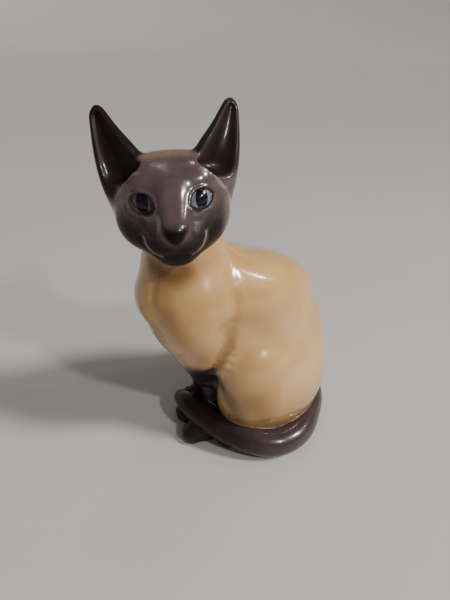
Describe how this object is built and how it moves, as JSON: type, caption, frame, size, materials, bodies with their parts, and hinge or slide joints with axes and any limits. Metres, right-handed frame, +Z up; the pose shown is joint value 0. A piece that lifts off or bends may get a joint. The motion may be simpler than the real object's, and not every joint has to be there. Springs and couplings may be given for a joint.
{
  "type": "ceramic cat figurine",
  "caption": "Glazed ceramic cat that sits upright, looks over its left shoulder and wraps its tail round its forepaws.",
  "frame": {"origin": "centre of the base plate's underside, on the surface that the figurine stands on", "axes": "+Z up; -Y is the side that the face looks to; the cat's chest points to -X and -Y, 30 degrees from -X"},
  "size_m": [0.1246, 0.1057, 0.1912],
  "materials": {
    "beige_glaze": "high gloss",
    "point_glaze": "high gloss",
    "bare_ceramic": "matt, unglazed"
  },
  "bodies": {
    "root": {"body_shell": "beige_glaze", "head_shell": "point_glaze", "left_ear": "point_glaze", "right_ear": "point_glaze", "left_foreleg": "point_glaze", "right_foreleg": "point_glaze", "left_hind_foot": "point_glaze", "right_hind_foot": "point_glaze", "tail": "point_glaze", "base_plate": "bare_ceramic"}
  },
  "joints": []
}
